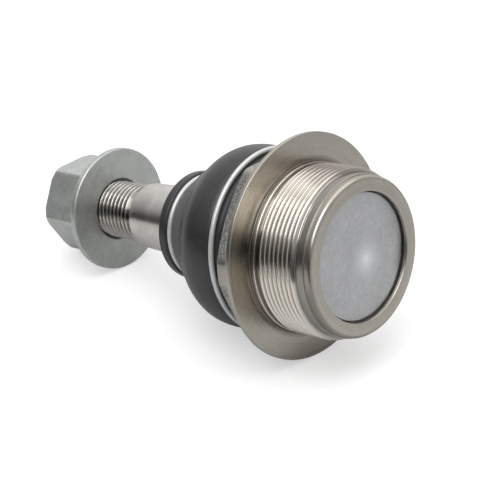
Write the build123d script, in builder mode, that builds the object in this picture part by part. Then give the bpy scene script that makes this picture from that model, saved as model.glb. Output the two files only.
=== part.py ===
from build123d import *
import os
from math import acos, asin, cos, degrees, radians, sin, sqrt, tan

# Screw-in suspension ball joint, in millimetres.
# The origin is the ball's centre and +Z runs along the stud towards its nut.
# Heights named *_z are places on that axis; the threaded end and its cover point down.

os.makedirs("parts", exist_ok=True)

# Ball stud: ball, neck, 1:10 taper and M16 x 1.5 thread
ball_r = 16.0
ball_flat = 0.8            # ground off the blind end of the ball
neck_r = 8.0
neck_blend = 2.0           # fillet between ball and neck
neck_top_z = 20.0          # the neck starts to widen here
taper_z = 29.0             # large end of the taper
taper_r = 10.3
taper_length = 25.8
taper_slope = 0.05         # radius lost per millimetre
stud_thread_r = 8.0
stud_bevel = 2.0           # length of the cone between taper and thread
stud_thread_length = 30.0
stud_beyond_nut = 1.0
stud_tip = 1.0             # chamfer on the end of the thread
centre_drill_r = 1.25
centre_drill_depth = 4.0
centre_drill_angle = 60.0

# Swing of the stud, the same about X and about Y
swing = 18.0
swing_clearance = 0.6
retainer_depth = 2.2       # from the housing's mouth down to the edge that holds the shells

# Bearing shells
running_gap = 0.05         # ball in its shells
shell_wall = 2.1
shell_fit = 0.05           # shells in the housing
shell_split = 0.3          # gap between the two halves
shell_floor = 2.3          # under the ball, before the flat is taken off
grease_groove_r = 0.8
grease_grooves = 6
grease_pocket_r = 4.2

# Housing, from the flange's seating face both ways
seat_z = -3.5              # the face that meets the steering knuckle
flange_r = 30.0
flange_thickness = 1.2
hex_across_flats = 53.0
hex_corner_r = 29.0        # the corners are turned to this radius
hex_height = 5.7
hex_chamfer_angle = 30.0
pilot_width = 1.5          # plain ring between flange and undercut
undercut_width = 1.0
undercut_depth = 1.2
thread_r = 22.4            # M45 x 1.5
thread_length = 11.4
thread_chamfer = 0.6
runout_width = 0.6         # groove after the thread
runout_depth = 1.5
band_r = 21.3
band_width = 2.4
nose_r = 21.0
nose_width = 2.1
nose_round = 1.5
seat_blend = 0.6           # fillet between flange and pilot ring

# Cover plate, rolled into the housing's nose
cover_r = 18.7
cover_fit = 0.05
cover_ledge = 1.8          # thickness of the plate's edge, under the rolled lip
cover_boss_r = 16.8
cover_boss = 0.85          # the middle stands this far above the ledge
cover_dish = 0.4           # rise of the shallow cone at the centre
cover_round = 0.4
lip_r = 17.0
lip_thickness = 1.1
lip_round = 0.3

# Dust boot and its two wire rings
boot_groove_r = 20.6       # groove in the housing
boot_rib_r = 21.7          # rib above that groove
boot_rib_width = 1.2
mouth_height = 7.1         # housing above the hexagon
boot_wall = 1.7
boot_gap = 0.1
boot_flare = 0.2           # lean of the wall where it leaves the bead
bead_r = 23.7              # boot's lower collar
bulge_r = 24.35            # widest part of the boot
bulge_low_z = 12.5
bulge_high_z = 18.0
shoulder_r = 21.8
shoulder_z = 22.5
cone_top_r = 14.2
cone_top_z = 32.6
collar_r = 14.8
collar_top_z = 37.4
collar_height = 2.5
collar_floor = 2.6         # rubber between the neck's bore and the cone inside
wire_r = 0.7
large_ring_r = 24.3        # to the middle of the wire
large_ring_z = 8.5
large_ring_tilt = 1.7      # the ring lies this many degrees out of level
small_ring_r = 13.8
small_ring_z = 33.9
ring_gap = 3.0             # width of the split in each ring
ring_fit = 0.05

# Flange nut and its locking ring
nut_across_flats = 24.0
nut_height = 17.7
nut_turn = 23.3            # how far the nut's corners are turned from +X
nut_flange_r = 17.25
nut_flange_thickness = 1.8
nut_flange_round = 0.4
nut_cone_angle = 25.0
nut_end_r = 12.45          # face at the far end
nut_chamfer_angle = 45.0
nut_gap = 0.05
nut_countersink = 0.8
lock_recess_r = 10.3
lock_ring_height = 2.6
lock_lip_r = 9.4
lock_lip = 0.5

# Places worked out from the sizes above
worst_tilt = acos(cos(radians(swing)) ** 2)
seat_r = ball_r + running_gap
bore_r = seat_r + shell_wall + shell_fit

flange_top_z = seat_z + flange_thickness
hex_top_z = flange_top_z + hex_height
mouth_z = hex_top_z + mouth_height
rib_z = mouth_z - boot_rib_width
retainer_z = mouth_z - retainer_depth

pilot_z = seat_z - pilot_width
thread_top_z = pilot_z - undercut_width
thread_end_z = thread_top_z - thread_length
band_top_z = thread_end_z - runout_width
nose_top_z = band_top_z - band_width
nose_z = nose_top_z - nose_width

ball_flat_z = ball_flat - ball_r
cover_top_z = -(ball_r + shell_floor)
ledge_z = cover_top_z - cover_ledge
boss_z = ledge_z - cover_boss

taper_end_z = taper_z + taper_length
taper_end_r = taper_r - taper_slope * taper_length
stud_thread_z = taper_end_z + stud_bevel
stud_end_z = stud_thread_z + stud_thread_length
nut_top_z = stud_end_z - stud_beyond_nut
nut_z = nut_top_z - nut_height
lock_top_z = nut_top_z - lock_lip


def shaft_radius(z):
    """Radius of the stud's taper at height z."""
    return taper_r - taper_slope * (z - taper_z)


def swept_radius(z):
    """How far from the axis the tilted neck reaches at height z."""
    return z * tan(worst_tilt) + neck_r / cos(worst_tilt)


def on_ball(radius, z):
    """Radius at height z of a sphere about the ball's centre."""
    return sqrt(radius**2 - z**2)


# Ball stud
blend_z = sqrt((ball_r + neck_blend) ** 2 - (neck_r + neck_blend) ** 2)
blend_share = ball_r / (ball_r + neck_blend)
blend_on_ball = ((neck_r + neck_blend) * blend_share, blend_z * blend_share)
blend_half = asin(blend_z / (ball_r + neck_blend)) / 2
blend_middle = (
    neck_r + neck_blend * (1 - cos(blend_half)),
    blend_z - neck_blend * sin(blend_half),
)

with BuildPart() as ball_stud:
    with BuildSketch(Plane.XZ):
        with BuildLine():
            Line((0, ball_flat_z), (on_ball(ball_r, ball_flat_z), ball_flat_z))
            ThreePointArc((on_ball(ball_r, ball_flat_z), ball_flat_z), (ball_r, 0), blend_on_ball)
            ThreePointArc(blend_on_ball, blend_middle, (neck_r, blend_z))
            Polyline(
                (neck_r, blend_z),
                (neck_r, neck_top_z),
                (taper_r, taper_z),
                (taper_end_r, taper_end_z),
                (stud_thread_r, stud_thread_z),
                (stud_thread_r, stud_end_z - stud_tip),
                (stud_thread_r - stud_tip, stud_end_z),
                (0, stud_end_z),
                (0, ball_flat_z),
            )
        make_face()
    revolve(axis=Axis.Z)
    with Locations((0, 0, stud_end_z)):
        CounterSinkHole(centre_drill_r, 2 * centre_drill_r, centre_drill_depth, centre_drill_angle)
ball_stud.part.label = "ball_stud"
export_step(ball_stud.part, "parts/ball_stud.step")


# Housing: turned body with flange, hexagon, thread bands and rolled lip
lip_under_z = nose_z + lip_thickness
retainer_r = on_ball(ball_r + swing_clearance / 2, retainer_z)
mouth_r = max(swept_radius(mouth_z) + swing_clearance, retainer_r + swing_clearance / 2)
cover_bore_r = cover_r + cover_fit
hex_chamfer = (hex_corner_r - hex_across_flats / 2) * tan(radians(hex_chamfer_angle))

with BuildPart() as housing:
    with BuildSketch(Plane.XZ):
        Polygon(
            (0, nose_z),
            (nose_r, nose_z),
            (nose_r, nose_top_z),
            (band_r, nose_top_z),
            (band_r, band_top_z),
            (thread_r - runout_depth, band_top_z),
            (thread_r - runout_depth, thread_end_z),
            (thread_r - thread_chamfer, thread_end_z),
            (thread_r, thread_end_z + thread_chamfer),
            (thread_r, thread_top_z - thread_chamfer),
            (thread_r - thread_chamfer, thread_top_z),
            (thread_r - undercut_depth, thread_top_z),
            (thread_r - undercut_depth, pilot_z),
            (thread_r, pilot_z),
            (thread_r, seat_z),
            (flange_r, seat_z),
            (flange_r, flange_top_z),
            (boot_groove_r, flange_top_z),
            (boot_groove_r, rib_z),
            (boot_rib_r, rib_z),
            (boot_rib_r, mouth_z),
            (0, mouth_z),
            align=None,
        )
    revolve(axis=Axis.Z)
    round_edges = housing.edges().filter_by(GeomType.CIRCLE)
    fillet(round_edges.filter_by_position(Axis.Z, nose_z, nose_z), nose_round)
    seat_edges = housing.edges().filter_by(GeomType.CIRCLE).filter_by_position(Axis.Z, seat_z, seat_z)
    fillet(seat_edges.sort_by(SortBy.RADIUS)[0], seat_blend)
    # The hexagon, with its corners turned round and chamfered towards the boot
    with BuildSketch(Plane.XY.offset(flange_top_z)):
        RegularPolygon(hex_across_flats / 2, 6, major_radius=False, rotation=30)
    extrude(amount=hex_height)
    with BuildSketch(Plane.XZ):
        Polygon(
            (hex_corner_r, flange_top_z),
            (hex_corner_r, hex_top_z - hex_chamfer),
            (hex_across_flats / 2, hex_top_z),
            (hex_across_flats, hex_top_z),
            (hex_across_flats, flange_top_z),
            align=None,
        )
    revolve(axis=Axis.Z, mode=Mode.SUBTRACT)
    # Seat of the shells, recess of the cover and the flared mouth
    with BuildSketch(Plane.XZ):
        with BuildLine():
            Polyline(
                (0, mouth_z),
                (mouth_r, mouth_z),
                (retainer_r, retainer_z),
                (on_ball(bore_r, retainer_z), retainer_z),
            )
            ThreePointArc(
                (on_ball(bore_r, retainer_z), retainer_z),
                (on_ball(bore_r, retainer_z / 2), retainer_z / 2),
                (bore_r, 0),
            )
            Polyline(
                (bore_r, 0),
                (bore_r, cover_top_z),
                (cover_bore_r, cover_top_z),
                (cover_bore_r, ledge_z - cover_fit),
                (lip_r, lip_under_z),
                (lip_r, nose_z),
                (0, nose_z),
                (0, mouth_z),
            )
        make_face()
    revolve(axis=Axis.Z, mode=Mode.SUBTRACT)
    lip_edge = housing.edges().filter_by(GeomType.CIRCLE).filter_by_position(Axis.Z, nose_z, nose_z)
    fillet(lip_edge.sort_by(SortBy.RADIUS)[0], lip_round)
housing.part.label = "housing"
export_step(housing.part, "parts/housing.step")


# Bearing shells, split at the ball's equator, with meridian grease grooves
shell_r = seat_r + shell_wall
upper_low_z = shell_split / 2
upper_high_z = retainer_z - shell_fit
upper_inside_low = (on_ball(seat_r, upper_low_z), upper_low_z)
upper_inside_high = (on_ball(seat_r, upper_high_z), upper_high_z)
upper_outside_low = (on_ball(shell_r, upper_low_z), upper_low_z)
upper_outside_high = (on_ball(shell_r, upper_high_z), upper_high_z)

with BuildPart() as upper_bearing_shell:
    with BuildSketch(Plane.XZ):
        with BuildLine():
            Line(upper_inside_low, upper_outside_low)
            ThreePointArc(
                upper_outside_low,
                (on_ball(shell_r, upper_high_z / 2), upper_high_z / 2),
                upper_outside_high,
            )
            Line(upper_outside_high, upper_inside_high)
            ThreePointArc(
                upper_inside_high,
                (on_ball(seat_r, upper_high_z / 2), upper_high_z / 2),
                upper_inside_low,
            )
        make_face()
    revolve(axis=Axis.Z)
    for i in range(grease_grooves // 2):
        with Locations(Location((0, 0, 0), (90, 0, i * 360 / grease_grooves))):
            Torus(seat_r, grease_groove_r, mode=Mode.SUBTRACT)
upper_bearing_shell.part.label = "upper_bearing_shell"
export_step(upper_bearing_shell.part, "parts/upper_bearing_shell.step")

lower_high_z = -shell_split / 2
lower_floor_z = cover_top_z + shell_fit
pocket_top_z = -on_ball(seat_r, grease_pocket_r)

with BuildPart() as lower_bearing_shell:
    with BuildSketch(Plane.XZ):
        with BuildLine():
            Polyline(
                (on_ball(seat_r, lower_high_z), lower_high_z),
                (shell_r, lower_high_z),
                (shell_r, lower_floor_z),
                (grease_pocket_r, lower_floor_z),
                (grease_pocket_r, pocket_top_z),
            )
            ThreePointArc(
                (grease_pocket_r, pocket_top_z),
                (seat_r * cos(radians(45)), -seat_r * sin(radians(45))),
                (on_ball(seat_r, lower_high_z), lower_high_z),
            )
        make_face()
    revolve(axis=Axis.Z)
    for i in range(grease_grooves // 2):
        with Locations(Location((0, 0, 0), (90, 0, i * 360 / grease_grooves))):
            Torus(seat_r, grease_groove_r, mode=Mode.SUBTRACT)
lower_bearing_shell.part.label = "lower_bearing_shell"
export_step(lower_bearing_shell.part, "parts/lower_bearing_shell.step")


# Cover plate: thin edge under the lip, raised middle with a shallow cone
with BuildPart() as cover_plate:
    with BuildSketch(Plane.XZ):
        Polygon(
            (0, cover_top_z),
            (cover_r, cover_top_z),
            (cover_r, ledge_z),
            (cover_boss_r, ledge_z),
            (cover_boss_r, boss_z),
            (0, boss_z - cover_dish),
            align=None,
        )
    revolve(axis=Axis.Z)
    boss_edge = cover_plate.edges().filter_by(GeomType.CIRCLE).filter_by_position(Axis.Z, boss_z, boss_z)
    fillet(boss_edge, cover_round)
cover_plate.part.label = "cover_plate"
export_step(cover_plate.part, "parts/cover_plate.step")


# Dust boot: one hollow of rubber from the housing's groove to the taper
bead_low_z = hex_top_z + boot_gap
bead_bore_r = boot_groove_r + boot_gap
rib_bore_r = boot_rib_r + boot_gap
collar_low_z = collar_top_z - collar_height
neck_floor_z = collar_low_z - collar_floor
neck_bore_low = shaft_radius(neck_floor_z) + boot_gap
neck_bore_high = shaft_radius(collar_top_z) + boot_gap
cone_slope = (shoulder_r - cone_top_r) / (cone_top_z - shoulder_z)
wall_side = boot_wall * sqrt(1 + cone_slope**2)   # the cone's wall, measured level

with BuildPart() as dust_boot:
    with BuildSketch(Plane.XZ):
        with BuildLine():
            Polyline((bead_bore_r, bead_low_z), (bead_r, bead_low_z), (bead_r, mouth_z))
            Spline(
                (bead_r, mouth_z),
                (bulge_r, bulge_low_z),
                (bulge_r, bulge_high_z),
                (shoulder_r, shoulder_z),
                (cone_top_r, cone_top_z),
                tangents=((boot_flare, 1), (-cone_slope, 1)),
            )
            Polyline(
                (cone_top_r, cone_top_z),
                (cone_top_r, collar_low_z),
                (collar_r, collar_low_z),
                (collar_r, collar_top_z),
                (neck_bore_high, collar_top_z),
                (neck_bore_low, neck_floor_z),
                (cone_top_r - wall_side, neck_floor_z - boot_wall),
            )
            Spline(
                (cone_top_r - wall_side, neck_floor_z - boot_wall),
                (shoulder_r - wall_side, shoulder_z - boot_wall / 2),
                (bulge_r - boot_wall, bulge_high_z - boot_wall / 2),
                (rib_bore_r, mouth_z),
                tangents=((cone_slope, -1), (-boot_flare, -1)),
            )
            Polyline(
                (rib_bore_r, mouth_z),
                (rib_bore_r, rib_z - boot_gap),
                (bead_bore_r, rib_z - boot_gap),
                (bead_bore_r, bead_low_z),
            )
        make_face()
        # Seats of the two wire rings; the large one leaves room for the ring's tilt
        with Locations((small_ring_r, small_ring_z)):
            Circle(wire_r + ring_fit, mode=Mode.SUBTRACT)
        with Locations((large_ring_r, large_ring_z)):
            SlotCenterToCenter(
                2 * large_ring_r * sin(radians(large_ring_tilt)),
                2 * (wire_r + ring_fit),
                rotation=90,
                mode=Mode.SUBTRACT,
            )
    revolve(axis=Axis.Z)
dust_boot.part.label = "dust_boot"
export_step(dust_boot.part, "parts/dust_boot.step")


def wire_ring(radius, height, tilt):
    """A round wire bent to a circle, split on the -X side and tilted about X."""
    split_angle = degrees(ring_gap / radius)
    with BuildPart() as ring:
        with BuildSketch(Plane.XZ.rotated((0, 0, 180 + split_angle / 2))):
            with Locations((radius, 0)):
                Circle(wire_r)
        revolve(axis=Axis.Z, revolution_arc=360 - split_angle)
    return ring.part.moved(Location((0, 0, height), (tilt, 0, 0)))


large_boot_ring = wire_ring(large_ring_r, large_ring_z, large_ring_tilt)
large_boot_ring.label = "large_boot_ring"
export_step(large_boot_ring, "parts/large_boot_ring.step")

small_boot_ring = wire_ring(small_ring_r, small_ring_z, 0)
small_boot_ring.label = "small_boot_ring"
export_step(small_boot_ring, "parts/small_boot_ring.step")


# Flange nut: disc, cone, hexagon, thread bore and the seat of its locking ring
nut_corner_r = nut_across_flats / 2 / cos(radians(30))
nut_chamfer = (nut_corner_r - nut_end_r) * tan(radians(nut_chamfer_angle))
nut_cone_z = nut_z + nut_flange_thickness
nut_cone_top_z = nut_cone_z + (nut_flange_r - nut_across_flats / 2) * tan(radians(nut_cone_angle))
nut_bore_r = stud_thread_r + nut_gap
lock_floor_z = lock_top_z - lock_ring_height - 2 * nut_gap

with BuildPart() as flange_nut:
    with BuildSketch(Plane.XY.offset(nut_z)):
        RegularPolygon(nut_across_flats / 2, 6, major_radius=False, rotation=nut_turn)
    extrude(amount=nut_height)
    with BuildSketch(Plane.XZ):
        Polygon(
            (nut_end_r, nut_top_z),
            (nut_corner_r, nut_top_z - nut_chamfer),
            (nut_across_flats, nut_top_z - nut_chamfer),
            (nut_across_flats, nut_top_z),
            align=None,
        )
    revolve(axis=Axis.Z, mode=Mode.SUBTRACT)
    with BuildSketch(Plane.XZ):
        Polygon(
            (0, nut_z),
            (nut_flange_r, nut_z),
            (nut_flange_r, nut_cone_z),
            (nut_across_flats / 2, nut_cone_top_z),
            (0, nut_cone_top_z),
            align=None,
        )
    revolve(axis=Axis.Z)
    rim_edges = flange_nut.edges().filter_by(GeomType.CIRCLE).filter_by_position(Axis.Z, nut_z, nut_cone_z)
    fillet(rim_edges, nut_flange_round)
    with BuildSketch(Plane.XZ):
        Polygon(
            (0, nut_z),
            (nut_bore_r + nut_countersink, nut_z),
            (nut_bore_r, nut_z + nut_countersink),
            (nut_bore_r, lock_floor_z),
            (lock_recess_r, lock_floor_z),
            (lock_recess_r, lock_top_z),
            (lock_lip_r, lock_top_z),
            (lock_lip_r, nut_top_z),
            (0, nut_top_z),
            align=None,
        )
    revolve(axis=Axis.Z, mode=Mode.SUBTRACT)
flange_nut.part.label = "flange_nut"
export_step(flange_nut.part, "parts/flange_nut.step")

with BuildPart() as nut_locking_ring:
    with BuildSketch(Plane.XY.offset(lock_floor_z + nut_gap)):
        Circle(lock_recess_r - nut_gap)
        Circle(nut_bore_r, mode=Mode.SUBTRACT)
    extrude(amount=lock_ring_height)
nut_locking_ring.part.label = "nut_locking_ring"
export_step(nut_locking_ring.part, "parts/nut_locking_ring.step")
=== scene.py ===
import math

import bmesh
import bpy
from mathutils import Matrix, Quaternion, Vector


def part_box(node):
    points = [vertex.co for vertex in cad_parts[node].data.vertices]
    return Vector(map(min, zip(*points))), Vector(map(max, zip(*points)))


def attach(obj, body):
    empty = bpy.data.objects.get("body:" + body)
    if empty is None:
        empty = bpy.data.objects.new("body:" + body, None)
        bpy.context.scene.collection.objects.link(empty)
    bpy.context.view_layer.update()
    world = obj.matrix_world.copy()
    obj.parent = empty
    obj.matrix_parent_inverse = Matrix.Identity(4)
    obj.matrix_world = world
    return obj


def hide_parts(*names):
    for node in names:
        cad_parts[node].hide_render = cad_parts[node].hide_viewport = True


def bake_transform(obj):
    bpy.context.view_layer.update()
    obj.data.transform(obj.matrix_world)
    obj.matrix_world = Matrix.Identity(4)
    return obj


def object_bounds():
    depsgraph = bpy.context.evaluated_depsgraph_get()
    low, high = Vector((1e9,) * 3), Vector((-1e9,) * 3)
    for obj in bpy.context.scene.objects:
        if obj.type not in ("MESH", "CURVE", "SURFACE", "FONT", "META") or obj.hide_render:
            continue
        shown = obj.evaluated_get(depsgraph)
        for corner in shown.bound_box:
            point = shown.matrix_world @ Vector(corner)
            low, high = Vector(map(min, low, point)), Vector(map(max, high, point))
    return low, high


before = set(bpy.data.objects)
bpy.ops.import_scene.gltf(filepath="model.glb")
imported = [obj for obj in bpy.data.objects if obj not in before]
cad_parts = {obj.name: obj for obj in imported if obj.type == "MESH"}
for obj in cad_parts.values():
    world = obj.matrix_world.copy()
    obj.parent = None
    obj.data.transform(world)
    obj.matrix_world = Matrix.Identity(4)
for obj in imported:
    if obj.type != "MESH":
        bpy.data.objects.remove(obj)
cadLow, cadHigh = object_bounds()

# A screw-in suspension ball joint. Sizes are in millimetres and turned into metres where a mesh is made.
# It stands on its rolled rim, stud up along Z; the camera and the floor are turned so that it lies down.
mm = 0.001
print("scene: the joint measures", [round((b - a) / mm, 1) for a, b in zip(cadLow, cadHigh)])


def rounded(corners, steps=5, loop=True):
    # corners are (radius, height, rounding); each rounded one gets an arc and a spare point on either side
    outline = []
    for i, (r, z, radius) in enumerate(corners):
        here = Vector((r, z))
        if radius == 0 or (not loop and i in (0, len(corners) - 1)):
            outline.append(here)
            continue
        before = Vector(corners[i - 1][:2]) - here
        after = Vector(corners[(i + 1) % len(corners)][:2]) - here
        half = before.angle(after) / 2
        reach = min(radius / math.tan(half), 0.45 * before.length, 0.45 * after.length)
        radius = reach * math.tan(half)
        before.normalize()
        after.normalize()
        centre = here + (before + after).normalized() * radius / math.sin(half)
        first = here + before * reach - centre
        last = here + after * reach - centre
        turn = math.pi - 2 * half
        outline.append(here + before * reach * 1.1)
        for k in range(steps + 1):
            t = k / steps
            bend = first * math.sin((1 - t) * turn) + last * math.sin(t * turn)
            outline.append(centre + bend / math.sin(turn))
        outline.append(here + after * reach * 1.1)
    return outline


def arcPoints(radius, fromDegrees, toDegrees, steps):
    # points of a circle about the ball's centre, as corners without rounding
    points = []
    for k in range(steps + 1):
        a = math.radians(fromDegrees + (toDegrees - fromDegrees) * k / steps)
        points.append((radius * math.cos(a), radius * math.sin(a), 0))
    return points


def curveThrough(points, steps):
    # a smooth curve through (radius, height) points
    ends = [points[0], *points, points[-1]]
    curve = []
    for i in range(len(points) - 1):
        p0, p1, p2, p3 = (Vector(p) for p in ends[i:i + 4])
        for k in range(steps):
            t = k / steps
            curve.append(0.5 * (2 * p1 + (p2 - p0) * t + (2 * p0 - 5 * p1 + 4 * p2 - p3) * t * t
                                + (3 * p1 - p0 - 3 * p2 + p3) * t ** 3))
    curve.append(Vector(points[-1]))
    return curve


def pieceFrom(bm, name, finish):
    bmesh.ops.remove_doubles(bm, verts=bm.verts, dist=1e-7)
    bmesh.ops.recalc_face_normals(bm, faces=bm.faces)
    mesh = bpy.data.meshes.new(name)
    bm.to_mesh(mesh)
    bm.free()
    mesh.shade_smooth()
    mesh.materials.append(finish)
    piece = bpy.data.objects.new(name, mesh)
    bpy.context.scene.collection.objects.link(piece)
    return piece


def lathe(name, finish, outlineAt, angles, loop=True):
    # outlineAt(angle) gives the outline at that angle; every angle gives as many points
    bm = bmesh.new()
    columns = []
    for angle in angles:
        c, s = math.cos(angle) * mm, math.sin(angle) * mm
        columns.append([bm.verts.new((r * c, r * s, z * mm)) for r, z in outlineAt(angle)])
    count = len(columns[0])
    for i, column in enumerate(columns):
        following = columns[(i + 1) % len(columns)]
        for j in range(count if loop else count - 1):
            k = (j + 1) % count
            bm.faces.new((column[j], following[j], following[k], column[k]))
    return pieceFrom(bm, name, finish)


def evenAngles(count, nearCorners=(), corners=6, firstCorner=0.0):
    # even steps round the axis, with a cluster of extra ones beside each corner of a polygon
    angles = {round(2 * math.pi * i / count, 6) for i in range(count)}
    for i in range(corners if nearCorners else 0):
        for degrees in nearCorners:
            a = 2 * math.pi * i / corners + math.radians(firstCorner + degrees)
            angles.add(round(a % (2 * math.pi), 6))
    ordered = sorted(angles)
    return [a for a, b in zip(ordered, ordered[1:] + [ordered[0] + 2 * math.pi]) if b - a > 1e-4]


def softMin(a, b, k):
    h = max(k - abs(a - b), 0) / k
    return min(a, b) - h * h * k / 4


def hexRadius(angle, flatToFlat, firstFlat):
    # how far a hexagon reaches in a direction; firstFlat is the direction of one flat's middle, in degrees
    sixth = math.pi / 3
    off = (angle - math.radians(firstFlat) + sixth / 2) % sixth - sixth / 2
    return flatToFlat / 2 / math.cos(off)


def threadRows(thread, angle):
    # corners down a right-hand thread at one angle, between the chamfers at its ends
    rows = []
    count = round((thread["top"] - thread["end"]) / thread["pitch"] * thread["rowsPerTurn"])
    flank = thread["rootShare"] - thread["crestShare"]
    for k in range(count + 1):
        z = thread["top"] + (thread["end"] - thread["top"]) * k / count
        turns = (z - thread["crestAt"]) / thread["pitch"] - (angle - thread["crestAngle"]) / (2 * math.pi)
        fromCrest = abs((turns + 0.5) % 1 - 0.5)
        ramp = min(max((thread["rootShare"] - fromCrest) / flank, 0), 1)
        height = 0.5 * ramp + 0.5 * ramp * ramp * (3 - 2 * ramp)
        r = thread["radius"] - thread["depth"] * (1 - height)
        lowCap = thread["endRadius"] + (z - thread["end"])
        highCap = thread["topRadius"] + (thread["top"] - z)
        rows.append((min(r, lowCap, highCap), z, 0))
    return rows


class Flow:
    # one socket of a node tree; arithmetic on it adds Math nodes
    def __init__(self, finish, socket):
        self.finish = finish
        self.socket = socket

    def math(self, operation, first, second=None):
        return self.finish.node("ShaderNodeMath", {"operation": operation}, {0: first, 1: second})

    def __add__(self, other):
        return self.math("ADD", self, other)

    def __radd__(self, other):
        return self.math("ADD", other, self)

    def __sub__(self, other):
        return self.math("SUBTRACT", self, other)

    def __rsub__(self, other):
        return self.math("SUBTRACT", other, self)

    def __mul__(self, other):
        return self.math("MULTIPLY", self, other)

    def __rmul__(self, other):
        return self.math("MULTIPLY", other, self)

    def __pow__(self, other):
        return self.math("POWER", self, other)

    def __rpow__(self, other):
        return self.math("POWER", other, self)


class Finish:
    # a material whose nodes are added one call at a time
    def __init__(self, name):
        self.material = bpy.data.materials.new(name)
        self.material.use_nodes = True
        self.tree = self.material.node_tree
        self.tree.nodes.clear()

    def node(self, kind, settings=None, sockets=None, out=0):
        made = self.tree.nodes.new(kind)
        for name, value in (settings or {}).items():
            if name == "stops":
                stops = made.color_ramp.elements
                stops.remove(stops[1])
                stops[0].position = value[0][0]
                for i, (position, strength) in enumerate(value):
                    stop = stops.new(position) if i else stops[0]
                    stop.color = grey(strength)
            else:
                setattr(made, name, value)
        for key, value in (sockets or {}).items():
            if isinstance(value, Flow):
                self.tree.links.new(value.socket, made.inputs[key])
            elif value is not None:
                made.inputs[key].default_value = value
        return Flow(self, made.outputs[out]) if len(made.outputs) > out else None

    def place(self):
        return self.node("ShaderNodeTexCoord", out=3)

    def split(self, vector):
        made = self.node("ShaderNodeSeparateXYZ", None, {0: vector})
        parts = made.socket.node.outputs
        return [Flow(self, parts[i]) for i in range(3)]

    def join(self, x, y, z):
        return self.node("ShaderNodeCombineXYZ", None, {0: x, 1: y, 2: z})

    def noise(self, vector, scale, detail, roughness):
        return self.node("ShaderNodeTexNoise", None,
                         {"Vector": vector, "Scale": scale, "Detail": detail, "Roughness": roughness})

    def ramp(self, value, *stops):
        return self.node("ShaderNodeValToRGB", {"stops": stops}, {0: value})

    def spread(self, value, fromLow, fromHigh, toLow, toHigh):
        return self.node("ShaderNodeMapRange", {"clamp": True},
                         {"Value": value, "From Min": fromLow, "From Max": fromHigh,
                          "To Min": toLow, "To Max": toHigh})

    def edge(self, value, between, before=0.0, after=1.0):
        # goes from one strength to another between two lengths in millimetres
        return self.spread(value, between[0] * mm, between[1] * mm, before, after)

    def tint(self, factor, a, b):
        # colour a where the factor is 0, colour b where it is 1
        return self.node("ShaderNodeMix", {"data_type": "RGBA"}, {0: factor, 6: a, 7: b}, out=2)

    def bump(self, height, strength, distance):
        return self.node("ShaderNodeBump", None,
                         {"Height": height, "Strength": strength, "Distance": distance})

    def surface(self, **sockets):
        shader = self.node("ShaderNodeBsdfPrincipled", None,
                           {key.replace("_", " "): value for key, value in sockets.items()})
        self.node("ShaderNodeOutputMaterial", None, {0: shader})
        return self.material


def shade(r, g, b):
    return (r, g, b, 1)


def grey(value):
    return shade(value, value, value)


def turnedRings(f, place, acrossScale, alongScale):
    # streaks that run round the axis, as a turning tool leaves them, with the radius and the coordinates
    x, y, z = f.split(place)
    radius = (x * x + y * y) ** 0.5
    rings = f.noise(f.join(radius * acrossScale, z * alongScale, 0.0), scale=1.0, detail=3.0, roughness=0.6)
    return rings, radius, (x, y, z)


housingLook = {
    "turnedDark": shade(0.44, 0.415, 0.37), "turnedLight": shade(0.52, 0.50, 0.455),
    "forgedDark": shade(0.20, 0.20, 0.185), "forgedLight": shade(0.50, 0.50, 0.475),
    # the thread's colour, its colour on the side away from the floor, and its roots' colour: painted shade
    # with some grime
    "thread": shade(0.81, 0.77, 0.71), "threadDarkerSide": shade(0.46, 0.41, 0.37), "root": shade(0.10, 0.09, 0.08),
    # the third colour on the next line is a painted reflection of the floor's shadow, laid on one side of the
    # nose
    "stain": shade(0.43, 0.37, 0.30), "fleck": shade(0.35, 0.33, 0.285), "noseShadowReflection": shade(0.20, 0.19, 0.165),
    # on the next line: the painted shade and dark reflection on the flange's seat, and the band below the
    # thread painted darker as a dark reflection
    "seatShadeAndReflection": shade(0.10, 0.092, 0.08), "darkBandReflection": shade(0.34, 0.33, 0.30),
    "roughness": (0.25, 0.32), "forgedRougher": 0.17, "threadSmoother": 0.11, "ringScale": 1500,
    # soft edges of the zones: each runs from one height, radius or place across to another
    "forgedZ": (-2.3, -2.1), "rimR": (28.75, 28.85), "threadTopZ": (-4.1, -3.9), "threadEndZ": (-18.2, -18.0),
    "rootR": (21.4, 22.1), "darkBandEndZ": (-20.3, -20.2), "noseZ": (-20.5, -20.3),
    "noseShadowSide": (-4, -10), "noseShadowR": (19.8, 20.6), "threadDarkerSideAcross": (18, 25),
    # where the seat's painted dark reflection lies and how far it reaches, then the radii of the painted shade
    # in its corner
    "darkReflectionAt": (22.8, -6.6), "darkReflectionR": (1.8, 5.2), "cornerR": (22.7, 24.2),
    "seatShadeTopZ": (-3.2, -3.4), "seatShadeEndZ": (-4.3, -4.1),
}


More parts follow.
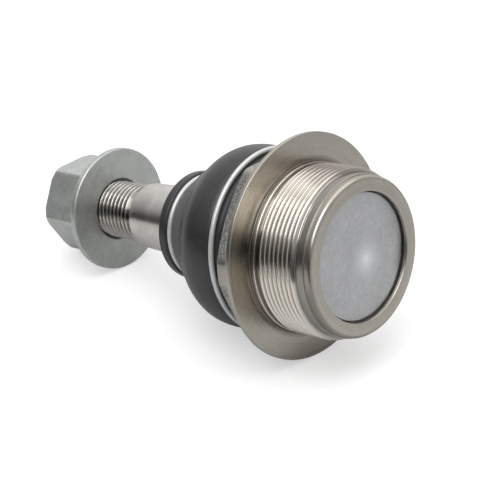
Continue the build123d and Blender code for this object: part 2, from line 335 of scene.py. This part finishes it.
def housingSteel():
    f = Finish("housingSteel")
    look = housingLook
    place = f.place()
    rings, radius, (facing, across, z) = turnedRings(f, place, look["ringScale"], look["ringScale"])
    blotch = f.noise(place, scale=110, detail=4, roughness=0.6)
    grain = f.noise(place, scale=1500, detail=3, roughness=0.7)

    # zones along the axis: the forged hexagon, the thread and the band below it, painted darker as a dark
    # reflection
    forged = f.edge(z, look["forgedZ"]) * f.edge(radius, look["rimR"], 1.0, 0.25)
    cut = f.edge(z, look["threadEndZ"]) * f.edge(z, look["threadTopZ"], 1.0, 0.0)
    # the band below the thread is painted darker all round: a painted dark reflection
    darkBandReflection = f.edge(z, look["darkBandEndZ"]) * f.edge(z, look["threadEndZ"], 1.0, 0.0)

    # the turned bands, with stains and flecks, and a painted reflection of the floor's shadow on the nose
    turned = f.tint(f.spread(rings, 0.3, 0.7, 0.0, 1.0), look["turnedDark"], look["turnedLight"])
    turned = f.tint(f.spread(blotch, 0.35, 0.7, 0.0, 0.6), turned, look["stain"])
    turned = f.tint(f.spread(grain, 0.35, 0.65, 0.0, 0.3), turned, look["fleck"])
    # the side of the nose that faces the floor is darkened: a painted reflection of the floor's shadow
    noseShadowMask = (f.edge(across + blotch * (8 * mm), look["noseShadowSide"], 0.0, 0.75) * f.edge(radius, look["noseShadowR"])
             * f.edge(z, look["noseZ"], 1.0, 0.0))
    turned = f.tint(noseShadowMask, turned, look["noseShadowReflection"])

    # a painted dark reflection in a spot on the flange's seat, and painted dark reflection and shade in its
    # corner beside the thread
    darkReflectionX, darkReflectionY = (length * mm for length in look["darkReflectionAt"])
    fromDarkReflection = ((facing - darkReflectionX) ** 2 + (across - darkReflectionY) ** 2) ** 0.5
    darkReflectionSpot = f.edge(fromDarkReflection + blotch * (2 * mm), look["darkReflectionR"], 0.8, 0.0)
    corner = f.edge(radius, look["cornerR"], 0.75, 0.0)
    seatShadeMask = f.node("ShaderNodeMath", {"operation": "MAXIMUM"}, {0: darkReflectionSpot, 1: corner})
    turned = f.tint(seatShadeMask * f.edge(z, look["seatShadeTopZ"]) * f.edge(z, look["seatShadeEndZ"]), turned, look["seatShadeAndReflection"])

    # the thread, darker on the side away from the floor, and dark in its roots: painted shade there, with some
    # grime
    threadDarkerSideMask = f.edge(across + blotch * (12 * mm), look["threadDarkerSideAcross"])
    thread = f.tint(threadDarkerSideMask, look["thread"], look["threadDarkerSide"])
    thread = f.tint(f.edge(radius, look["rootR"], 0.65, 0.0) * cut, thread, look["root"])

    forgedShade = f.tint(f.spread(grain, 0.38, 0.62, 0.0, 1.0), look["forgedDark"], look["forgedLight"])
    steel = f.tint(forged, f.tint(cut, turned, thread), forgedShade)
    roughness = f.spread(rings, 0.3, 0.7, *look["roughness"])
    return f.surface(
        Base_Color=f.tint(darkBandReflection, steel, look["darkBandReflection"]),
        Metallic=1.0,
        Roughness=roughness + forged * look["forgedRougher"] - cut * look["threadSmoother"],
        Normal=f.bump(rings * (1 - forged) * 0.25 + grain * forged, strength=0.25, distance=0.06 * mm),
    )


coverLook = {
    "blastedDark": shade(0.41, 0.415, 0.425), "blastedLight": shade(0.66, 0.665, 0.675),
    # a painted highlight off the cover's middle, lighter and smoother, where the shallow cone's apex catches
    # light
    "paintedHighlight": shade(0.84, 0.845, 0.86), "paintedHighlightAt": -2.2, "paintedHighlightR": (0.5, 7.5),
    "roughness": (0.42, 0.50), "paintedHighlightSmoother": 0.12,
}


def coverSteel():
    f = Finish("coverSteel")
    look = coverLook
    place = f.place()
    grain = f.noise(place, scale=1500, detail=4, roughness=0.75)
    blotch = f.noise(place, scale=120, detail=4, roughness=0.6)
    x, y, _ = f.split(place)
    # a lighter, smoother spot beside the middle: a painted highlight
    x = x - look["paintedHighlightAt"] * mm
    paintedHighlight = f.edge((x * x + y * y) ** 0.5, look["paintedHighlightR"], 1.0, 0.0) ** 2
    pale = f.spread(grain, 0.3, 0.7, 0.0, 0.6) + f.spread(blotch, 0.3, 0.7, 0.0, 0.4)
    return f.surface(
        Base_Color=f.tint(paintedHighlight, f.tint(pale, look["blastedDark"], look["blastedLight"]), look["paintedHighlight"]),
        Metallic=1.0,
        Roughness=f.spread(blotch, 0.3, 0.7, *look["roughness"]) - paintedHighlight * look["paintedHighlightSmoother"],
        Normal=f.bump(grain, strength=0.6, distance=0.10 * mm),
    )


studLook = {
    "turnedDark": shade(0.55, 0.53, 0.50), "turnedLight": shade(0.72, 0.705, 0.68),
    # the colour in the thread's roots is painted shade with some grime
    "root": shade(0.08, 0.075, 0.07), "threadZ": (56.6, 57.0), "endZ": (85.6, 86.0),
    "rootR": (7.5, 8.6),
    "roughness": (0.21, 0.28), "threadSmoother": 0.11, "ringScale": 5000,
}


def studSteel():
    f = Finish("studSteel")
    look = studLook
    place = f.place()
    rings, radius, (_, _, z) = turnedRings(f, place, 0, look["ringScale"])
    blotch = f.noise(place, scale=180, detail=3, roughness=0.5)
    nick = f.noise(place, scale=900, detail=3, roughness=0.7)
    cut = f.edge(z, look["threadZ"])
    worn = f.spread(blotch, 0.35, 0.7, 0.0, 1.0) * (1 - cut)
    # the thread's roots darkened: painted shade, with some grime
    rooted = f.edge(radius + nick * (1.2 * mm), look["rootR"], 0.95, 0.0) * cut
    rooted = rooted * f.edge(z, look["endZ"], 1.0, 0.0)
    return f.surface(
        Base_Color=f.tint(rooted, f.tint(worn, look["turnedDark"], look["turnedLight"]), look["root"]),
        Metallic=1.0,
        Roughness=f.spread(blotch, 0.3, 0.7, *look["roughness"]) - cut * look["threadSmoother"],
        Normal=f.bump(rings * 0.4 + nick * cut * 2.0, strength=0.25, distance=0.06 * mm),
    )


nutLook = {"dark": shade(0.42, 0.44, 0.42), "light": shade(0.61, 0.63, 0.615), "roughness": (0.36, 0.46)}


def nutZinc():
    f = Finish("nutZinc")
    place = f.place()
    grain = f.noise(place, scale=1300, detail=4, roughness=0.7)
    blotch = f.noise(place, scale=260, detail=6, roughness=0.75)
    mottle = f.spread(blotch, 0.35, 0.65, 0.0, 0.6) + f.spread(grain, 0.35, 0.65, 0.0, 0.4)
    return f.surface(
        Base_Color=f.tint(mottle, nutLook["dark"], nutLook["light"]),
        Metallic=0.85,
        Roughness=f.spread(blotch, 0.3, 0.7, *nutLook["roughness"]),
        Normal=f.bump(grain, strength=0.5, distance=0.08 * mm),
    )


wireLook = {"dark": shade(0.60, 0.605, 0.60), "light": shade(0.70, 0.705, 0.70), "roughness": (0.36, 0.44)}


def springWire():
    f = Finish("springWire")
    blotch = f.noise(f.place(), scale=300, detail=3, roughness=0.5)
    return f.surface(
        Base_Color=f.tint(f.spread(blotch, 0.3, 0.7, 0.0, 1.0), wireLook["dark"], wireLook["light"]),
        Metallic=0.45,
        Roughness=f.spread(blotch, 0.3, 0.7, *wireLook["roughness"]),
    )


rubberLook = {
    "dark": shade(0.022, 0.0218, 0.0215), "light": shade(0.038, 0.0375, 0.037),
    "dust": shade(0.105, 0.103, 0.096), "dustLowZ": (22.5, 24.5), "dustHighZ": (34.5, 35.0),
    "roughness": (0.27, 0.37), "dustRougher": 0.18,
}


def bootRubber():
    f = Finish("bootRubber")
    look = rubberLook
    place = f.place()
    grain = f.noise(place, scale=1800, detail=4, roughness=0.6)
    blotch = f.noise(place, scale=90, detail=4, roughness=0.6)
    z = f.split(place)[2]
    dusty = f.edge(z, look["dustLowZ"]) * f.edge(z, look["dustHighZ"], 1.0, 0.0)
    clean = f.tint(f.spread(blotch, 0.3, 0.7, 0.0, 1.0), look["dark"], look["light"])
    return f.surface(
        Base_Color=f.tint(dusty * f.spread(grain, 0.35, 0.65, 0.2, 1.0), clean, look["dust"]),
        Roughness=f.spread(grain, 0.3, 0.7, *look["roughness"]) + dusty * look["dustRougher"],
        Normal=f.bump(grain, strength=0.35, distance=0.05 * mm),
    )


def bearingPolymer(name, light, dark):
    f = Finish(name)
    blotch = f.noise(f.place(), scale=400, detail=3, roughness=0.5)
    return f.surface(
        Base_Color=f.tint(f.spread(blotch, 0.3, 0.7, 0.0, 1.0), dark, light),
        Roughness=f.spread(blotch, 0.3, 0.7, 0.4, 0.55),
    )


print("scene: finishes")
housingFinish = housingSteel()
coverFinish = coverSteel()
studFinish = studSteel()
nutFinish = nutZinc()
wireFinish = springWire()
rubberFinish = bootRubber()
polymerFinish = bearingPolymer("bearingPolymer", shade(0.84, 0.82, 0.74), shade(0.78, 0.76, 0.68))
nylonFinish = bearingPolymer("lockingNylon", shade(0.76, 0.78, 0.81), shade(0.68, 0.70, 0.74))


housing = {
    "seatZ": -3.5, "flangeThick": 1.2, "hexFlats": 53.0, "hexCorner": 29.0, "cornerSoft": 0.15,
    "hexTop": 3.0, "hexSlope": 28.0, "hexInset": 0.25, "deepFlat": 23.9,
    "deepAngle": math.radians(60.9), "deepSoft": 0.1, "grooveR": 20.6, "ribR": 21.7, "ribWidth": 1.2,
    "pilotZ": -4.95, "seatRound": 0.3, "undercutR": 20.9, "reliefR": 21.15, "reliefZ": -18.4,
    "bandR": 21.3, "noseTopZ": -20.4, "noseR": 21.0, "noseRound": 1.25, "lipR": 17.0, "lipZ": -21.4,
    "recessR": 18.75, "ledgeZ": -20.15, "coverTopZ": -18.3, "boreR": 18.2, "retainerZ": 8.3,
    "retainerR": 14.06, "mouthR": 14.4,
}
housingThread = {
    "radius": 22.4, "depth": 0.9, "pitch": 1.5, "top": -6.2, "end": -18.0, "topRadius": 21.9,
    "endRadius": 21.4, "crestAt": -6.7, "crestAngle": math.radians(-15.1), "crestShare": 0.07,
    "rootShare": 0.43, "rowsPerTurn": 14,
}


def reach(node):
    # a solid's lowest height, highest height and largest radius
    low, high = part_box(node)
    return low.z / mm, high.z / mm, high.x / mm


noseZ, mouthZ, flangeR = reach("housing")


def housingOutline(angle):
    h = housing
    flangeTop = h["seatZ"] + h["flangeThick"]
    side = softMin(hexRadius(angle, h["hexFlats"], 0), h["hexCorner"], h["cornerSoft"])
    facingDeep = math.cos(angle - h["deepAngle"])
    if facingDeep > 0.5:  # one flat is cut deeper than the others
        side = softMin(side, h["deepFlat"] / facingDeep, h["deepSoft"])
    inset = min(h["hexFlats"] / 2, side) - h["hexInset"]
    chamferZ = h["hexTop"] - (side - inset) * math.tan(math.radians(h["hexSlope"]))
    retainerAngle = math.degrees(math.asin(h["retainerZ"] / h["boreR"]))
    return rounded([
        (h["mouthR"], mouthZ, 0.3),
        (h["ribR"], mouthZ, 0.3),
        (h["ribR"], mouthZ - h["ribWidth"], 0.3),
        (h["grooveR"], mouthZ - h["ribWidth"], 0.2),
        (h["grooveR"], h["hexTop"], 0.4),
        (inset, h["hexTop"], 0.4),
        (side, chamferZ, 0.5),
        (side, flangeTop, 0.5),
        (flangeR, flangeTop, 0.25),
        (flangeR, h["seatZ"], 0.25),
        (housingThread["radius"], h["seatZ"], h["seatRound"]),
        (housingThread["radius"], h["pilotZ"], 0.2),
        (h["undercutR"], h["pilotZ"], 0.2),
        *threadRows(housingThread, angle),
        (h["reliefR"], housingThread["end"], 0.12),
        (h["reliefR"], h["reliefZ"], 0.12),
        (h["bandR"], h["reliefZ"], 0.2),
        (h["bandR"], h["noseTopZ"], 0.12),
        (h["noseR"], h["noseTopZ"], 0.08),
        (h["noseR"], noseZ, h["noseRound"]),
        (h["lipR"], noseZ, 0.4),
        (h["lipR"], h["lipZ"], 0.3),
        (h["recessR"], h["ledgeZ"], 0.1),
        (h["recessR"], h["coverTopZ"], 0.1),
        (h["boreR"], h["coverTopZ"], 0.1),
        *arcPoints(h["boreR"], 0, retainerAngle, 14),
        (h["retainerR"], h["retainerZ"], 0.2),
    ], steps=4)


housingBody = lathe("housingBody", housingFinish, housingOutline, evenAngles(240))
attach(housingBody, "socket")
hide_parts("housing")
print("scene: housing")


cover = {
    "edgeZ": -20.1, "bossR": 16.8, "bossZ": -20.95, "bossRound": 0.45, "tipZ": -21.32, "tipFlat": 2.5,
    "tipRound": 12.0,
}
_, coverTopZ, coverR = reach("cover_plate")


def coverOutline(angle):
    return rounded([
        (0, coverTopZ, 0),
        (coverR, coverTopZ, 0.1),
        (coverR, cover["edgeZ"], 0.1),
        (cover["bossR"], cover["edgeZ"], 0.2),
        (cover["bossR"], cover["bossZ"], cover["bossRound"]),
        (cover["tipFlat"], cover["tipZ"], cover["tipRound"]),
        (0, cover["tipZ"], 0),
    ], steps=5, loop=False)


coverDisc = lathe("coverDisc", coverFinish, coverOutline, evenAngles(144), loop=False)
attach(coverDisc, "socket")
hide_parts("cover_plate")
print("scene: cover")


stud = {
    "ballR": 16.0, "ballEnd": 56.2, "neckR": 8.0, "neckZ": 14.97, "neckFillet": (8.3, 13.97),
    "flareLow": 20.0, "flareRound": 3.0, "shankZ": 29.0, "shankR": 10.3, "shankEndZ": 54.8,
    "shankEndR": 9.01, "drillR": 1.25, "drillMouth": 2.5, "drillConeZ": 84.6, "drillZ": 82.8,
}
studThread = {
    "radius": 8.0, "depth": 0.88, "pitch": 1.5, "top": 86.8, "end": 56.8, "topRadius": 7.0,
    "endRadius": 7.6, "crestAt": 65.3, "crestAngle": math.radians(-15.1), "crestShare": 0.07,
    "rootShare": 0.43, "rowsPerTurn": 14,
}


ballLowZ, _, _ = reach("ball_stud")


def studOutline(angle):
    s = stud
    lowAngle = math.degrees(math.asin(ballLowZ / s["ballR"]))
    return rounded([
        (0, ballLowZ, 0),
        *arcPoints(s["ballR"], lowAngle, s["ballEnd"], 40),
        (*s["neckFillet"], 0),
        (s["neckR"], s["neckZ"], 0),
        (s["neckR"], s["flareLow"], s["flareRound"]),
        (s["shankR"], s["shankZ"], s["flareRound"]),
        (s["shankEndR"], s["shankEndZ"], 0.25),
        *reversed(threadRows(studThread, angle)),
        (s["drillMouth"], studThread["top"], 0.15),
        (s["drillR"], s["drillConeZ"], 0.1),
        (s["drillR"], s["drillZ"], 0.1),
        (0, s["drillZ"], 0),
    ], steps=4, loop=False)


studBody = lathe("studBody", studFinish, studOutline, evenAngles(144), loop=False)
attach(studBody, "pin")
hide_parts("ball_stud")
print("scene: stud")


boot = {
    "lowZ": 3.55, "beadBoreR": 20.7, "beadR": 23.5, "ribs": 4, "ribPitch": 0.85, "ribDeep": 0.3,
    "ribBoreR": 21.8, "ribGrooveZ": 9.2, "mouthZ": 10.5, "meetZ": 22.5, "neckZ": 33.0,
    "collarLowZ": 34.9, "collarTopZ": 37.4, "collarR": 14.8, "boreTopR": 9.98, "wireR": 0.75,
    "ringLowR": 24.3, "ringLowZ": 8.5, "ringTilt": math.radians(1.7), "ringHighR": 13.8,
    "ringHighZ": 33.9,
}
# the wall's curves, each through (radius, height)
bootBulge = [
    (23.95, 9.8), (24.4, 11.2), (24.65, 14.0), (24.5, 16.5), (24.0, 18.6), (22.9, 20.8), (21.45, 22.5),
]
bootCone = [
    (21.45, 22.5), (20.1, 24.5), (18.9, 26.5), (17.4, 28.5), (16.3, 30.0), (15.1, 31.5), (14.0, 32.9),
]
bootInsideLow = [(19.9, 21.8), (22.1, 18.6), (22.7, 15.5), (22.4, 12.5), (21.8, 10.5)]
bootInsideHigh = [
    (10.21, 33.1), (12.3, 32.5), (13.5, 31.2), (14.7, 29.8), (16.4, 27.2), (18.3, 24.2), (19.9, 21.8),
]


def ringSeat(r, z, fromDegrees, toDegrees, steps=6):
    # the hollow that a wire ring lies in
    points = []
    for k in range(steps + 1):
        a = math.radians(fromDegrees + (toDegrees - fromDegrees) * k / steps)
        points.append((r + boot["wireR"] * math.cos(a), z + boot["wireR"] * math.sin(a), 0))
    return points


def asCorners(curve):
    return [(p[0], p[1], 0) for p in curve]


def beadRibs(b):
    # the bead's outside is ribbed between the hexagon and the large ring
    outerR, innerR, pitch = b["beadR"], b["beadR"] - b["ribDeep"], b["ribPitch"]
    corners = []
    for k in range(b["ribs"]):
        z = b["lowZ"] + pitch * k
        corners += [(outerR, z, 0.12), (outerR, z + 0.55 * pitch, 0.12),
                    (innerR, z + 0.6 * pitch, 0.1), (innerR, z + 0.95 * pitch, 0.1)]
    return corners


def bootLowOutline(angle):
    b = boot
    seatZ = b["ringLowZ"] + b["ringLowR"] * math.sin(angle) * math.sin(b["ringTilt"])
    return rounded([
        (b["beadBoreR"], b["lowZ"], 0.2),
        *beadRibs(b),
        *ringSeat(b["ringLowR"], seatZ, 217, 143),
        *asCorners(curveThrough(bootBulge, 8)),
        *asCorners(curveThrough(bootInsideLow, 6)),
        (b["ribBoreR"], b["ribGrooveZ"], 0.1),
        (b["beadBoreR"], b["ribGrooveZ"], 0.1),
    ], steps=4)


def bootHighOutline(angle):
    b = boot
    return rounded([
        *asCorners(curveThrough(bootCone, 8)),
        *ringSeat(b["ringHighR"], b["ringHighZ"], 270, 90),
        (b["collarR"], b["collarLowZ"], 0.4),
        (b["collarR"], b["collarTopZ"], 0.5),
        (b["boreTopR"], b["collarTopZ"], 0.3),
        *asCorners(curveThrough(bootInsideHigh, 6)),
    ], steps=4)


bootLow = lathe("bootLow", rubberFinish, bootLowOutline, evenAngles(160))
bootHigh = lathe("bootHigh", rubberFinish, bootHighOutline, evenAngles(160))
for length in (bootLow, bootHigh):
    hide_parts("dust_boot")
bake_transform(bootLow)
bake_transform(bootHigh)
print("scene: boot")


nut = {
    "flats": 24.0, "firstFlat": 53.3, "cornerR": 13.75, "cornerSoft": 0.25, "rim": 1.8,
    "coneSlope": 25.0, "endR": 12.45, "endBreak": 0.25, "boreR": 8.05, "countersink": 0.8,
    "lockR": 10.3, "lockTop": 0.5, "lockFloor": 3.2, "lockLipR": 9.4,
}
nutLowZ, nutTopZ, nutFlangeR = reach("flange_nut")


def nutOutline(angle):
    n = nut
    side = softMin(hexRadius(angle, n["flats"], n["firstFlat"]), n["cornerR"], n["cornerSoft"])
    drop = max(side - n["endR"], n["endBreak"])
    coneZ = nutLowZ + n["rim"]
    coneTop = coneZ + (nutFlangeR - side) * math.tan(math.radians(n["coneSlope"]))
    return rounded([
        (n["boreR"], nutLowZ + n["countersink"], 0.1),
        (n["boreR"] + n["countersink"], nutLowZ, 0.15),
        (nutFlangeR, nutLowZ, 0.5),
        (nutFlangeR, coneZ, 0.6),
        (side, coneTop, 1.6),
        (side, nutTopZ - drop, 0.3),
        (side - drop, nutTopZ, 0.3),
        (n["lockLipR"], nutTopZ, 0.2),
        (n["lockLipR"], nutTopZ - n["lockTop"], 0.05),
        (n["lockR"], nutTopZ - n["lockTop"], 0.05),
        (n["lockR"], nutTopZ - n["lockFloor"], 0.05),
        (n["boreR"], nutTopZ - n["lockFloor"], 0.05),
    ], steps=5)


besideCorners = (-1.6, -0.8, -0.3, 0.3, 0.8, 1.6)
nutBody = lathe("nutBody", nutFinish, nutOutline, evenAngles(120, besideCorners, 6, nut["firstFlat"] + 30))
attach(nutBody, "nut")
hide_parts("flange_nut")
print("scene: nut")


for nodeName, finish in (
    ("large_boot_ring", wireFinish),
    ("small_boot_ring", wireFinish),
    ("upper_bearing_shell", polymerFinish),
    ("lower_bearing_shell", polymerFinish),
    ("nut_locking_ring", nylonFinish),
):
    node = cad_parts[nodeName]
    node.data.materials.clear()
    node.data.materials.append(finish)


lying = {"turn": 235.25, "flangeR": 30.0, "flangeZ": -2.3, "nutR": 17.25, "nutZ": 69.3}
view = {
    "azimuth": 82.71, "elevation": -42.35, "roll": -78.49, "target": (9.93, -3.21, 11.25),
    "distance": 521.2, "lens": 150, "sensor": 36,
}


def lyingFrame():
    # the floor touches the housing's flange and the nut's flange; gives a point on it and the way up
    run = lying["nutZ"] - lying["flangeZ"]
    tilt = math.atan2(lying["flangeR"] - lying["nutR"], run)
    a = math.radians(lying["turn"])
    outward = Vector((math.cos(a), math.sin(a), 0))
    up = -(outward * math.cos(tilt) + Vector((0, 0, 1)) * math.sin(tilt))
    touch = (outward * lying["flangeR"] + Vector((0, 0, lying["flangeZ"]))) * mm
    return touch, up


touch, floorUp = lyingFrame()
azimuth, elevation = math.radians(view["azimuth"]), math.radians(view["elevation"])
back = Vector((math.sin(azimuth) * math.cos(elevation), -math.cos(azimuth) * math.cos(elevation),
               math.sin(elevation)))
cameraData = bpy.data.cameras.new("camera")
cameraData.lens = view["lens"]
cameraData.sensor_width = view["sensor"]
cameraData.clip_start = 0.01
camera = bpy.data.objects.new("camera", cameraData)
bpy.context.scene.collection.objects.link(camera)
camera.rotation_mode = "QUATERNION"
turnUp = Quaternion((0, 0, 1), math.radians(view["roll"]))
camera.rotation_quaternion = (-back).to_track_quat("-Z", "Y") @ turnUp
camera.location = (Vector(view["target"]) + back * view["distance"]) * mm
bpy.context.scene.camera = camera

ground = {
    "behind": 3.0, "before": 0.20, "left": 0.16, "right": 3.0, "albedo": 0.56, "glow": 0.51,
    "glowInMetal": 0.03,
}
centre = (cadLow + cadHigh) / 2
under = centre - floorUp * ((centre - touch).dot(floorUp))
away = -(back - floorUp * back.dot(floorUp)).normalized()
rightward = away.cross(floorUp)
bm = bmesh.new()
bm.faces.new([
    bm.verts.new(under + away * y + rightward * x)
    for x, y in ((-ground["left"], -ground["before"]), (ground["right"], -ground["before"]),
                 (ground["right"], ground["behind"]), (-ground["left"], ground["behind"]))
])


def floorWhite():
    # a pale floor that looks white to the camera and keeps its shadow
    f = Finish("floorWhite")
    diffuse = f.node("ShaderNodeBsdfDiffuse", None, {"Color": grey(ground["albedo"])})
    rays = f.node("ShaderNodeLightPath").socket.node.outputs
    mirrored = Flow(f, rays["Is Glossy Ray"]) + Flow(f, rays["Is Transmission Ray"])
    glow = Flow(f, rays["Is Camera Ray"]) * ground["glow"] + mirrored * ground["glowInMetal"]
    glow = f.node("ShaderNodeEmission", None, {"Color": grey(1), "Strength": glow})
    lit = f.node("ShaderNodeAddShader", None, {0: diffuse, 1: glow})
    clear = f.node("ShaderNodeBsdfTransparent")
    fromBelow = f.node("ShaderNodeNewGeometry", out=6)
    both = f.node("ShaderNodeMixShader", None, {0: fromBelow, 1: lit, 2: clear})
    f.node("ShaderNodeOutputMaterial", None, {0: both})
    return f.material


floor = pieceFrom(bm, "floor", floorWhite())
if floor.data.polygons[0].normal.dot(floorUp) < 0:
    floor.data.flip_normals()

light = {
    "top": {"power": 1.9, "size": 0.80, "up": 0.60, "away": 0.05, "right": 0.12},
    "front": {"power": 3.3, "size": 0.62, "up": 0.663, "away": -0.402, "right": -0.196},
}


def softbox(name, lamp):
    data = bpy.data.lights.new(name, "AREA")
    data.shape = "SQUARE"
    data.size = lamp["size"]
    data.energy = lamp["power"]
    box = bpy.data.objects.new(name, data)
    offset = floorUp * lamp["up"] + away * lamp["away"] + rightward * lamp["right"]
    box.location = centre + offset
    box.rotation_mode = "QUATERNION"
    box.rotation_quaternion = (-offset).to_track_quat("-Z", "Y")
    bpy.context.scene.collection.objects.link(box)


softbox("topSoftbox", light["top"])
softbox("frontSoftbox", light["front"])


class WorldFinish(Finish):
    def __init__(self, world):
        world.use_nodes = True
        self.tree = world.node_tree
        self.tree.nodes.clear()

    def along(self, axis):
        # how far a direction in the room points along an axis, from -1 to 1
        direction = self.node("ShaderNodeTexCoord", out=0)
        return self.node("ShaderNodeVectorMath", {"operation": "DOT_PRODUCT"},
                         {0: direction, 1: tuple(axis)}, out=1)

    def heightRamp(self, height, stops):
        # stops are (degrees above the horizon, brightness)
        return self.ramp(height * 0.5 + 0.5, *(
            (0.5 + 0.5 * math.sin(math.radians(degrees)), brightness) for degrees, brightness in stops))


studio = {
    "room": ((-60, 0.80), (-38, 0.40), (-14, 0.05), (4, 0.05), (18, 0.38), (34, 0.50), (60, 0.75)),
    "dark": ((-60, 0.60), (-30, 0.10), (-20, 0.03), (12, 0.03), (30, 0.20), (45, 0.50), (60, 0.75)),
    "darkTurn": 26, "darkFrom": 0.45, "darkTo": 0.85,
    "wall": 0.57, "wallFrom": 0.05, "wallTo": 0.55,
    "backdrop": 0.92, "backdropFrom": 0.25, "backdropTo": 0.75,
}

world = bpy.data.worlds.new("studio")
bpy.context.scene.world = world
w = WorldFinish(world)
height = w.along(floorUp)
darkTurn = math.radians(studio["darkTurn"])
towardDark = w.along(-away * math.cos(darkTurn) - rightward * math.sin(darkTurn))
dark = w.spread(towardDark, studio["darkFrom"], studio["darkTo"], 0, 1)
wall = w.spread(w.along(rightward), studio["wallFrom"], studio["wallTo"], 0, 1)
backdrop = w.spread(w.along(away), studio["backdropFrom"], studio["backdropTo"], 0, 1)
dome = w.tint(dark, w.heightRamp(height, studio["room"]), w.heightRamp(height, studio["dark"]))
dome = w.tint(wall, dome, grey(studio["wall"]))
dome = w.tint(backdrop, dome, grey(studio["backdrop"]))
cameraRay = w.node("ShaderNodeLightPath")
shown = w.tint(cameraRay, dome, grey(1))  # the camera sees white round the floor
background = w.node("ShaderNodeBackground", None, {"Color": shown, "Strength": 1.0})
w.node("ShaderNodeOutputWorld", None, {0: background})
bpy.context.scene.view_settings.view_transform = "Standard"
print("scene: floor, light and camera")
